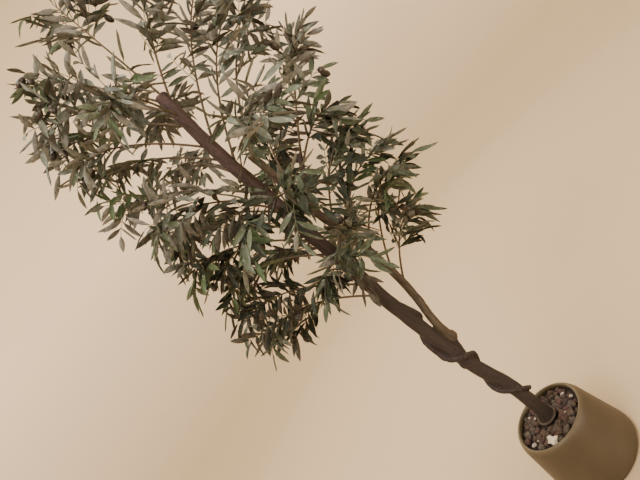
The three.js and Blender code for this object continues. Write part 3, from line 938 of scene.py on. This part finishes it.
def bark_paint(name, low_tone, dark, middle, light, warm_dark, warm_light):
    """Streaked bark in two browns, in a darker tone low down and the darkest at its foot."""
    paint = Paint(name, middle, 0.8)
    streaks = paint.noise(paint.place((1, 1, 0.2)), scale=75, detail=6, rough=0.66)
    patches = paint.noise(paint.place((1, 1, 0.6)), scale=17, detail=5, rough=0.62)
    fine = paint.noise(paint.place((1, 1, 0.4)), scale=330, detail=4, rough=0.6)
    spots = paint.noise(paint.place(), scale=240, detail=2, rough=0.5)
    brown = paint.ramp(streaks, (0.28, dark), (0.5, middle), (0.78, light))
    warm = paint.ramp(streaks, (0.28, warm_dark), (0.75, warm_light))
    where = paint.ramp(patches, (0.42, (0, 0, 0)), (0.62, (1, 1, 1)))
    skin = paint.blend(where, brown, warm)
    scuffs = paint.ramp(spots, (0.6, (0, 0, 0)), (0.68, (0.6, 0.6, 0.6)))
    pale = paint.ramp(fine, (0.3, BARK_SCUFF), (0.7, BARK_SCUFF))
    foot_tone = tuple(tone * shade for tone, shade in zip(low_tone, BARK_FOOT_TONE))
    climb = paint.height_share(*BARK_TONE_HEIGHTS)
    low_stops = ((0.0, foot_tone), (0.035, low_tone), (0.5, low_tone))
    tone = paint.ramp(climb, *low_stops, (1.0, (1, 1, 1)))
    paint.colour(paint.blend(1.0, paint.blend(scuffs, skin, pale), tone, "MULTIPLY"))
    paint.rough(fine, low=0.62, high=0.88)
    paint.bump(paint.blend(0.5, streaks, fine), strength=0.5, distance=0.0015)
    return paint.material


def leaf_paint(name, colour, roughness):
    paint = Paint(name, colour, roughness)
    paint.shader.inputs["Specular IOR Level"].default_value = LEAF_SHEEN
    grain = paint.noise(paint.place(), scale=70, detail=3, rough=0.6)
    dark = tuple(channel * LEAF_DARKER for channel in colour)
    light = tuple(channel * LEAF_LIGHTER for channel in colour)
    paint.colour(paint.ramp(grain, (0.35, dark), (0.68, light)))
    fine = paint.noise(paint.place(), scale=900, detail=2, rough=0.5)
    paint.bump(fine, strength=0.15, distance=0.0003)
    return paint.material


def studio_paint():
    """Pale and warm, a little lighter up the wall than on the floor: painted light on the wall.
    """
    paint = Paint("studio warm", (0.62, 0.51, 0.37), 0.9)
    # Painted light: lighter up the wall than on the floor.
    climb = paint.height_share(*STUDIO_PAINTED_LIGHT_HEIGHTS)
    paint.colour(paint.ramp(climb, (0.0, (0.45, 0.355, 0.23)), (1.0, (0.95, 0.84, 0.675))))
    return paint.material


def plain_paint(name, colour, roughness, scale, contrast, bump=0.4, distance=0.001):
    paint = Paint(name, colour, roughness)
    grain = paint.noise(paint.place(), scale, detail=5, rough=0.65)
    dark = tuple(channel * (1 - contrast) for channel in colour)
    light = tuple(min(channel * (1 + contrast), 1) for channel in colour)
    paint.colour(paint.ramp(grain, (0.33, dark), (0.68, light)))
    paint.bump(grain, bump, distance)
    return paint.material


def stone_paint(name, colour, contrast, roughness=0.9, scale=170, bump=0.9):
    return plain_paint(name, colour, roughness, scale, contrast, bump, distance=0.002)


# The deep olive is a darkened olive and the brown underside is darkened too, as painted shade
# for the heart; the grey olive is the leaves' own grey-green, lightened as painted light.
LEAF_TOPS = (
    leaf_paint("leaf olive", (0.063, 0.08, 0.049), 0.58),
    leaf_paint("leaf olive painted shade", (0.018, 0.0245, 0.014), 0.6),
    leaf_paint("leaf fresh", (0.058, 0.09, 0.04), 0.54),
    leaf_paint("leaf grey olive painted light", (0.106, 0.121, 0.095), 0.62),
)
LEAF_UNDERS = (
    leaf_paint("underside grey", (0.155, 0.16, 0.135), 0.7),
    leaf_paint("underside brown painted shade", (0.064, 0.058, 0.047), 0.72),
    leaf_paint("underside green", (0.12, 0.145, 0.094), 0.68),
    leaf_paint("underside pale", (0.205, 0.202, 0.18), 0.72),
)
TWIG_PAINT = plain_paint(
    "twig brown", (0.075, 0.055, 0.035), roughness=0.7, scale=140, contrast=0.35
)
STALK_PAINT = plain_paint(
    "twig green", (0.07, 0.075, 0.032), roughness=0.6, scale=140, contrast=0.3
)
OLIVE_PAINT = plain_paint(
    "olive skin",
    (0.03, 0.023, 0.017),
    roughness=0.38,
    scale=45,
    contrast=0.5,
    bump=0.05,
    distance=0.0003,
)
STONE_PAINTS = (
    stone_paint("stone dark", (0.028, 0.02, 0.018), 0.55),
    stone_paint("stone brown", (0.052, 0.035, 0.026), 0.6),
    stone_paint("stone purple", (0.054, 0.028, 0.025), 0.6),
    stone_paint("stone grey", (0.058, 0.048, 0.04), 0.5),
    stone_paint("stone pale", (0.54, 0.48, 0.39), 0.22, roughness=0.8, scale=90, bump=0.6),
    stone_paint("stone light", (0.3, 0.26, 0.22), 0.45, roughness=0.85, bump=0.8),
)
COLLAR_PAINT = plain_paint(
    "collar brown", (0.036, 0.026, 0.019), roughness=0.6, scale=60, contrast=0.25
)
FILLING_PAINT = plain_paint(
    "filling", (0.12, 0.1, 0.085), roughness=0.95, scale=80, contrast=0.3
)
BARK_PAINTS = (
    bark_paint(
        "bark brown",
        low_tone=(0.42, 0.455, 0.44),
        dark=(0.018, 0.0107, 0.01),
        middle=(0.043, 0.0268, 0.0232),
        light=(0.076, 0.0515, 0.0435),
        warm_dark=(0.025, 0.0134, 0.0138),
        warm_light=(0.068, 0.0395, 0.039),
    ),
    bark_paint(
        "bark olive",
        low_tone=(1, 1, 1),
        dark=(0.02, 0.015, 0.009),
        middle=(0.055, 0.042, 0.025),
        light=(0.095, 0.077, 0.047),
        warm_dark=(0.03, 0.019, 0.0125),
        warm_light=(0.075, 0.051, 0.036),
    ),
    bark_paint(
        "bark deep brown",
        low_tone=(1, 1, 1),
        dark=(0.006, 0.004, 0.004),
        middle=(0.017, 0.0115, 0.01),
        light=(0.034, 0.024, 0.02),
        warm_dark=(0.01, 0.006, 0.0065),
        warm_light=(0.027, 0.0175, 0.0175),
    ),
)


def make_pot():
    pieces = Pieces()
    add_lathe(pieces, pot_outline(), POT_SIDES)
    pot = pieces.build("pot_shell", pot_paint())
    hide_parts("pot")
    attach(pot, "root")


def add_stone(pieces, centre, size, random, slot, uneven):
    forms, faces = SMALL_BALL
    stretch = np.array([mix(*limits, random()) for limits in STONE_STRETCH])
    shift = Vector([random() * UNEVEN_SHIFT for _ in range(3)])
    swell = [1 + uneven * noise.noise(Vector(form) * UNEVEN_SCALE + shift) for form in forms]
    turned = Matrix.Rotation(random() * 2 * pi, 3, "Z")
    tilted = Matrix.Rotation(mix(-STONE_TILT, STONE_TILT, random()), 3, "X")
    shaped = forms * np.array(swell)[:, None] * stretch * size
    pieces.add(shaped @ np.array(turned @ tilted).T + centre, faces, slot)


def clear_of_pale_stones(centre):
    for x, y, size in PALE_STONES:
        if np.hypot(centre[0] - x, centre[1] - y) <= size + PALE_STONE_ROOM:
            return False
    return True


def make_stones():
    random = make_random(STONE_SEED)
    pieces = Pieces()
    inside = inner_radius(BED_TOP) - BED_CLEARANCE
    bed = [(0, BLOCK_TOP), (inside, BLOCK_TOP), (inside, BED_TOP), (0, BED_TOP)]
    add_lathe(pieces, bed, BED_SIDES)
    golden_turn = pi * (3 - sqrt(5))
    inner, outer = STONE_RING
    for height, count, start in STONE_LAYERS:
        for i in range(count):
            jitter = mix(-STONE_TURN_JITTER, STONE_TURN_JITTER, random())
            turn = start + i * golden_turn + jitter
            out = sqrt(mix(inner ** 2, outer ** 2, (i + 0.5) / count))
            size = mix(*STONE_SIZES, random() ** STONE_SIZE_POWER)
            mound = STONE_MOUND * (1 - (out / outer) ** 2)
            level = height + mound + mix(*STONE_LEVELS, random())
            centre = np.array((out * cos(turn), out * sin(turn), level))
            slot = int(random() * DARK_STONE_PAINTS)
            if clear_of_pale_stones(centre):
                add_stone(pieces, centre, size, random, slot, DARK_UNEVEN)
    for x, y, size in PALE_STONES:
        centre = np.array((x, y, PALE_LEVEL))
        if size > LIGHT_STONE_SIZE:
            add_stone(pieces, centre, size, random, PALE_SLOT, PALE_UNEVEN)
        else:
            add_stone(pieces, centre, size, random, LIGHT_SLOT, LIGHT_UNEVEN)
    stones = pieces.build("stones", *STONE_PAINTS)
    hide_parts("gravel")
    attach(stones, "root")


def make_collar():
    ring = Pieces()
    centres = []
    x, y, z = COLLAR_PLACE
    for k in range(COLLAR_STEPS + 1):
        turn = 2 * pi * k / COLLAR_STEPS
        centres.append((x + COLLAR_RADIUS * cos(turn), y + COLLAR_RADIUS * sin(turn), z))
    add_tube(ring, centres, [COLLAR_THICKNESS] * len(centres), COLLAR_SIDES)
    collar = ring.build("trunk_collar", COLLAR_PAINT)
    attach(collar, "root")


def tube_along(pieces, curve, radius_at, sides, steps):
    shares = [i / steps for i in range(steps + 1)]
    centres = [curve.point(share) for share in shares]
    add_tube(pieces, centres, [radius_at(share) for share in shares], sides)


def give_relief(mesh):
    """Moves a skin in and out by a grain that runs up the stems and by broader lumps."""
    count = len(mesh.vertices)
    places = np.empty(count * 3)
    normals = np.empty(count * 3)
    mesh.vertices.foreach_get("co", places)
    mesh.vertex_normals.foreach_get("vector", normals)
    places = places.reshape(-1, 3) / MM
    normals = normals.reshape(-1, 3)
    grain_size = np.array((GRAIN_ACROSS, GRAIN_ACROSS, GRAIN_ALONG))
    for i in range(count):
        grain = abs(noise.noise(Vector(places[i] / grain_size)))
        finer = noise.noise(Vector(places[i] / (grain_size * FINER_GRAIN)))
        lump = noise.noise(Vector(places[i] / LUMP_SIZE))
        relief = GRAIN_DEPTH * (GRAIN_LEVEL - grain) * 2
        relief += GRAIN_DEPTH * FINER_DEPTH * finer
        relief += LUMP_DEPTH * lump
        places[i] += normals[i] * relief
    places[:, 2] = np.maximum(places[:, 2], BLOCK_TOP + BARK_LIFT)
    mesh.vertices.foreach_set("co", (places * MM).ravel())


def bark_slots(mesh, stained_knot):
    """The bark of each face, by the stem or knot that it belongs to."""
    right_start = right_fork_share * RIGHT_BARK_START
    right_points = right_stem.stretch(right_start, 1).points(RIGHT_BARK_STEPS)
    winding_points = winding.stretch(0, WINDING_BARK_END).points(WINDING_BARK_STEPS)
    slots = []
    for face in mesh.polygons:
        centre = np.array(face.center) / MM
        from_right = np.linalg.norm(right_points - centre, axis=1).min()
        from_winding = np.linalg.norm(winding_points - centre, axis=1).min()
        from_knot = np.linalg.norm(stained_knot - centre)
        if from_winding < WINDING_END_RADIUS + WINDING_BARK_MARGIN:
            slots.append(DEEP_BARK)
        elif from_right < RIGHT_RADIUS + RIGHT_BARK_MARGIN or from_knot < KNOT_STAIN:
            slots.append(OLIVE_BARK)
        else:
            slots.append(BROWN_BARK)
    return slots


def make_bark():
    """The stems as one skin: fused, smoothed at the joints and given its relief."""
    pieces = Pieces()
    tube_along(pieces, main_stem, main_stem_radius, STEM_SIDES, STEM_STEPS)
    tube_along(pieces, winding, winding_radius, LIMB_SIDES, WINDING_STEPS)
    tube_along(pieces, right_stem, right_stem_radius, LIMB_SIDES, RIGHT_STEPS)
    tube_along(pieces, side_limb, side_limb_radius, LIMB_SIDES, SIDE_LIMB_STEPS)
    forms, faces = ball(KNOT_BALL_STEPS)
    knots = []
    for height, heading, out, radius in KNOTS:
        place = main_stem.point(stem_share_at(height)) + direction(heading, 0) * out
        pieces.add(forms * (radius, radius, radius * KNOT_LENGTH) + place, faces)
        knots.append(place)
    rough = pieces.build("bark_rough")
    remesh = rough.modifiers.new("fuse", "REMESH")
    remesh.mode = "VOXEL"
    remesh.voxel_size = BARK_VOXEL * MM
    smooth = rough.modifiers.new("smooth", "SMOOTH")
    smooth.factor = BARK_SMOOTHING_FACTOR
    smooth.iterations = BARK_SMOOTHING
    fused = bpy.data.meshes.new_from_object(
        rough.evaluated_get(bpy.context.evaluated_depsgraph_get())
    )
    bpy.data.objects.remove(rough)
    fused.name = "bark"
    give_relief(fused)
    fused.polygons.foreach_set("use_smooth", [True] * len(fused.polygons))
    for paint in BARK_PAINTS:
        fused.materials.append(paint)
    fused.polygons.foreach_set("material_index", bark_slots(fused, knots[0]))
    fused.update()
    bark = bpy.data.objects.new("bark", fused)
    bpy.context.scene.collection.objects.link(bark)
    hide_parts("trunk", "limb_left", "limb_right", "limb_side")
    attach(bark, "root")


def make_foliage():
    left_leaves, right_leaves, twigs, olives = Pieces(), Pieces(), Pieces(), Pieces()
    for order, row in enumerate(SPRAYS):
        leaves = left_leaves if row[1] == "left" else right_leaves
        random = make_random(LEAF_SEED + SEED_STEP * order)
        curve, reach, bare = spray_curves[order], row[5], row[7]
        length = reach - TIP_LEAF_REACH
        in_crown = curve.point(0.5)[2] > CROWN_HEIGHT
        # Lower sprays take darker leaves as painted shade, crown sprays lighter ones as painted
        # light.
        low_shades = HEART_LEAVES_PAINTED_SHADE if row[1] == "left" else RIGHT_LEAVES_PAINTED_SHADE
        shades = CROWN_LEAVES_PAINTED_LIGHT if in_crown else low_shades
        spacing = PAIR_SPACING if in_crown else HEART_PAIR_SPACING
        shares = [i / SPRAY_STEPS for i in range(SPRAY_STEPS + 1)]
        centres = [curve.point(share) for share in shares]
        radii = [mix(SPRAY_RADIUS, SPRAY_TIP_RADIUS, share) for share in shares]
        add_tube(twigs, centres, radii, SPRAY_SIDES, 0)
        own = twig_row(order, TWIGS, (bare, LAST_TWIG_SHARE), TWIG_LENGTH, TWIG_SEED, 0)
        fine_shares = (bare, FINE_TWIG_LAST_SHARE)
        fine = twig_row(order, FINE_TWIGS, fine_shares, FINE_TWIG_LENGTH, FINE_TWIG_SEED, 1)
        for twig, twig_length in own + fine:
            steps = [i / TWIG_STEPS for i in range(TWIG_STEPS + 1)]
            radii = [mix(TWIG_RADIUS, TWIG_TIP_RADIUS, share) for share in steps]
            add_tube(twigs, [twig.point(share) for share in steps], radii, TWIG_SIDES, 1)
            shade = shades[int(random() * len(shades))]
            size = mix(*TWIG_LEAF_SIZES, random())
            grow_pairs(
                leaves, order, twig, twig_length, TWIG_BARE_SHARE, spacing, random, shade, size
            )
        shade = shades[int(random() * len(shades))]
        grow_pairs(
            leaves, order, curve, length, bare, STEM_PAIR_SPACING, random, shade, STEM_LEAF_SIZE
        )
        draw = make_random(OLIVE_SEED + SEED_STEP * order)
        holders = own or [(curve, length)]
        for i in range(2 * row[6]):
            twig, _ = holders[i // 2 % len(holders)]
            share = mix(*OLIVE_PLACES, draw())
            way = leaf_direction(twig.tangent(share), OLIVE_OPEN, mix(0, 2 * pi, draw()))
            add_olive(olives, twigs, twig.point(share), way, draw)
    paints = [paint for pair in zip(LEAF_TOPS, LEAF_UNDERS) for paint in pair]
    left_piece = left_leaves.build("leaves_left", *paints)
    right_piece = right_leaves.build("leaves_right", *paints)
    twig_piece = twigs.build("twigs", TWIG_PAINT, STALK_PAINT)
    olive_piece = olives.build("olives", OLIVE_PAINT)
    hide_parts(*(f"spray_{row[0]}" for row in SPRAYS))
    for piece in (left_piece, right_piece, twig_piece, olive_piece):
        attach(piece, "root")


def paint_filling():
    for material_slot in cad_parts["filling"].material_slots:
        material_slot.material = FILLING_PAINT


def make_studio():
    """A pale floor that curves up into a round backdrop, with soft lights inside it."""
    outline = [(0, 0), (STUDIO_RADIUS - STUDIO_ROUND, 0)]
    for i in range(1, STUDIO_ROUND_STEPS + 1):
        turn = pi / 2 * i / STUDIO_ROUND_STEPS
        outline.append((
            STUDIO_RADIUS - STUDIO_ROUND * (1 - sin(turn)),
            STUDIO_ROUND * (1 - cos(turn)),
        ))
    outline += [(STUDIO_RADIUS, STUDIO_HEIGHT), (0, STUDIO_HEIGHT)]
    pieces = Pieces()
    add_lathe(pieces, outline, STUDIO_SIDES)
    staged = [pieces.build("studio", studio_paint())]
    for name, place, size, power in STUDIO_LIGHTS:
        light = bpy.data.lights.new(name, "AREA")
        light.shape = "DISK"
        light.size = size
        light.energy = power
        light.color = LIGHT_COLOUR
        lamp = bpy.data.objects.new(name, light)
        lamp.location = place
        lamp.visible_camera = False
        aim = Vector(LIGHT_AIM) - Vector(place)
        lamp.rotation_euler = aim.to_track_quat("-Z", "Y").to_euler()
        bpy.context.scene.collection.objects.link(lamp)
        staged.append(lamp)
    world = bpy.data.worlds.new("studio")
    world.use_nodes = True
    background = world.node_tree.nodes["Background"]
    background.inputs["Color"].default_value = (*WORLD_COLOUR, 1)
    background.inputs["Strength"].default_value = WORLD_STRENGTH
    bpy.context.scene.world = world


def make_camera():
    pitch, roll = radians(CAMERA_PITCH), radians(CAMERA_ROLL)
    ahead = Vector((0, cos(pitch), sin(pitch)))
    level = Vector((1, 0, 0))
    upright = level.cross(ahead)
    right = cos(roll) * level + sin(roll) * upright
    up = -sin(roll) * level + cos(roll) * upright
    turned = Matrix((right, up, -ahead)).transposed()
    data = bpy.data.cameras.new("camera")
    data.lens = CAMERA_LENS
    data.sensor_width = CAMERA_SENSOR
    camera = bpy.data.objects.new("camera", data)
    camera.matrix_world = Matrix.Translation(Vector(CAMERA_PLACE) * MM) @ turned.to_4x4()
    bpy.context.scene.collection.objects.link(camera)
    bpy.context.scene.camera = camera


make_pot()
make_stones()
make_collar()
make_bark()
make_foliage()
paint_filling()
make_studio()
make_camera()
